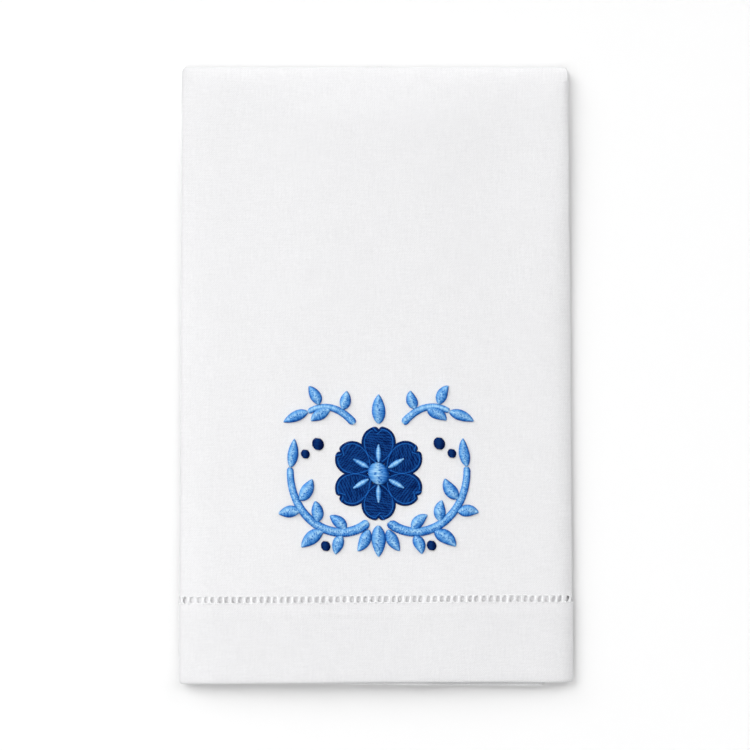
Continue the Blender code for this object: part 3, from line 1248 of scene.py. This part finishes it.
# Each thread's colours, from the crown of a stitch to where it goes into the cloth: the embroidery's
# stitches get a painted highlight at the crown and painted shade at their ends.
Thread = namedtuple("Thread", "name roughness tones specular stops")
lightBlue = Thread("light_blue_thread", 0.5, 0.3, 0.06, (
    (0.0, (0.38, 0.63, 0.84, 1)),
    (0.25, (0.185, 0.42, 0.735, 1)),
    (0.5, (0.085, 0.3, 0.66, 1)),
    (0.75, (0.022, 0.155, 0.52, 1)),
    (1.0, (0.005, 0.075, 0.36, 1)),
))
navy = Thread("navy_thread", 0.55, 1.0, 0.01, (
    (0.0, (0.007, 0.055, 0.24, 1)),
    (0.4, (0.003, 0.026, 0.14, 1)),
    (1.0, (0.0004, 0.004, 0.045, 1)),
))
# darker than the petals' navy: painted shade on the border's outer side
darkNavy = Thread("dark_navy_thread", 0.5, 0.3, 0.012, (
    (0.0, (0.004, 0.032, 0.15, 1)),
    (0.5, (0.0016, 0.013, 0.085, 1)),
    (1.0, (0.0006, 0.004, 0.045, 1)),
))
# a paler blue: painted highlight for the border's lit inner side
midBlue = Thread("mid_blue_thread", 0.5, 0.3, 0.01, (
    (0.0, (0.014, 0.12, 0.45, 1)),
    (1.0, (0.003, 0.045, 0.25, 1)),
))
white = Thread("white_thread", 0.7, 0.4, 0.06, (
    (0.0, (0.86, 0.865, 0.875, 1)),
    (1.0, (0.76, 0.77, 0.785, 1)),
))
# How fine the threads' fibres and patches are, how much they change the colour, and how high fibres stand.
threadGrain = {"fibres": 5200, "patches": 420, "patchy": 0.5, "fibrous": 0.3, "bump": 0.05}


def threadMaterial(thread):
    material, shader, start = newMaterial(thread.name)
    look = threadGrain
    here = start.node("ShaderNodeTexCoord", {}, {}, 3)
    sunk = start.node("ShaderNodeAttribute", {"attribute_name": "sunk"}, {}, 2)
    tone = start.node("ShaderNodeAttribute", {"attribute_name": "tone"}, {}, 2)
    fibres = here.grain(look["fibres"], 2, 0.6)
    patches = here.grain(look["patches"])
    uneven = (patches - 0.5) * look["patchy"] + (fibres - 0.5) * look["fibrous"]
    # sunk is painted highlight and shade; tone and unevenness are the thread's own
    share = sunk + (tone - 0.5) * thread.tones + uneven
    colour = start.node("ShaderNodeValToRGB", {"stops": thread.stops}, {0: share.clamped()})
    bump = start.node("ShaderNodeBump", {}, {
        "Strength": 0.5, "Distance": look["bump"] * mm, "Height": fibres})
    setSockets(shader, {
        "Base Color": colour,
        "Roughness": (fibres * 0.2 + (thread.roughness - 0.1)).clamped(),
        "Normal": bump,
        "Specular IOR Level": thread.specular,
    })
    return material


def floorMaterial():
    material, shader, start = newMaterial("pale_floor")
    here = start.node("ShaderNodeTexCoord", {}, {}, 3)
    low, high = studio["floorColours"]
    setSockets(shader, {
        "Base Color": here.grain(40).mix((low, low, low, 1), (high, high, high, 1)),
        "Roughness": 0.9,
        "Specular IOR Level": 0,
    })
    return material


studio = {
    "floorSize": 6.0,  # metres
    "floorDrop": 0.1,
    "floorColours": (0.855, 0.86),
    "lights": {  # how strong each is, and where it comes from
        "window": (2.846, (-0.612, 0.612, 0.5)),
        "upper right": (1.406, (0.612, 0.612, 0.5)),
        "lower left": (0.611, (-0.612, -0.612, 0.5)),
        "below": (1.287, (0, -0.5, 0.866)),
    },
    "lightAngle": 50,  # degrees across, for a soft light
    "lampPower": 0.85,  # a lamp close by on the left, so that the cloth is a little paler there
    "lampAt": (-0.8, 0, 0.45),
    "lampSize": 0.5,
    "lens": 100,
    "sensor": 36,
    "pixel": 0.4536,  # size of a pixel at the towel's face
    "imageSize": 750,
    "faceHeight": 5.6,
    "lookAtX": -0.45,
    "lookAtY": 0.43,
}


def shineFrom(light, place):
    light.rotation_mode = "QUATERNION"
    light.rotation_quaternion = Vector(place).to_track_quat("Z", "Y")


def makeStudio():
    bm = bmesh.new()
    bmesh.ops.create_grid(bm, x_segments=1, y_segments=1, size=studio["floorSize"] / 2)
    bmesh.ops.translate(bm, verts=bm.verts, vec=(0, 0, -studio["floorDrop"] * mm))
    floor = placed("floor", meshOf(bm, "floor"))
    floor.data.materials.append(floorMaterial())

    for name, (strength, comesFrom) in studio["lights"].items():
        sun = bpy.data.lights.new(name, "SUN")
        sun.energy = strength
        sun.angle = math.radians(studio["lightAngle"])
        shineFrom(placed(name, sun), comesFrom)

    area = bpy.data.lights.new("lamp", "AREA")
    area.energy, area.size = studio["lampPower"], studio["lampSize"]
    lamp = placed("lamp", area)
    lamp.location = studio["lampAt"]
    shineFrom(lamp, studio["lampAt"])
    lamp.visible_camera = False

    world = bpy.data.worlds.new("studio")
    world.use_nodes = True
    world.node_tree.nodes["Background"].inputs["Color"].default_value = (0, 0, 0, 1)
    bpy.context.scene.world = world
    bpy.context.scene.view_settings.view_transform = "Standard"


def makeCamera():
    data = bpy.data.cameras.new("camera")
    data.lens, data.sensor_width = studio["lens"], studio["sensor"]
    distance = studio["lens"] / studio["sensor"] * studio["imageSize"] * studio["pixel"]
    camera = placed("camera", data)
    camera.location = Vector((studio["lookAtX"], studio["lookAtY"], distance + studio["faceHeight"])) * mm
    bpy.context.scene.camera = camera


makeCamera()
makeStudio()
print("camera, light and floor")

towel = makeCloth("towel_cloth")
towel.data.materials.append(linenMaterial())
print(f"cloth: {len(towel.data.polygons)} faces")

whiteFinish, lightBlueFinish = threadMaterial(white), threadMaterial(lightBlue)
petalFinishes = [threadMaterial(thread) for thread in (navy, darkNavy, midBlue)]
stitches = [makeHemstitching(whiteFinish), makeSeams(whiteFinish)]
embroidery = [makeSprigs(lightBlueFinish), *makeBlossom(*petalFinishes, lightBlueFinish)]

for piece in [towel] + stitches + embroidery:
    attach(piece, "root")
for piece in [towel] + stitches:
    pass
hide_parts("towel")
clothLength * mm
stitches + embroidery
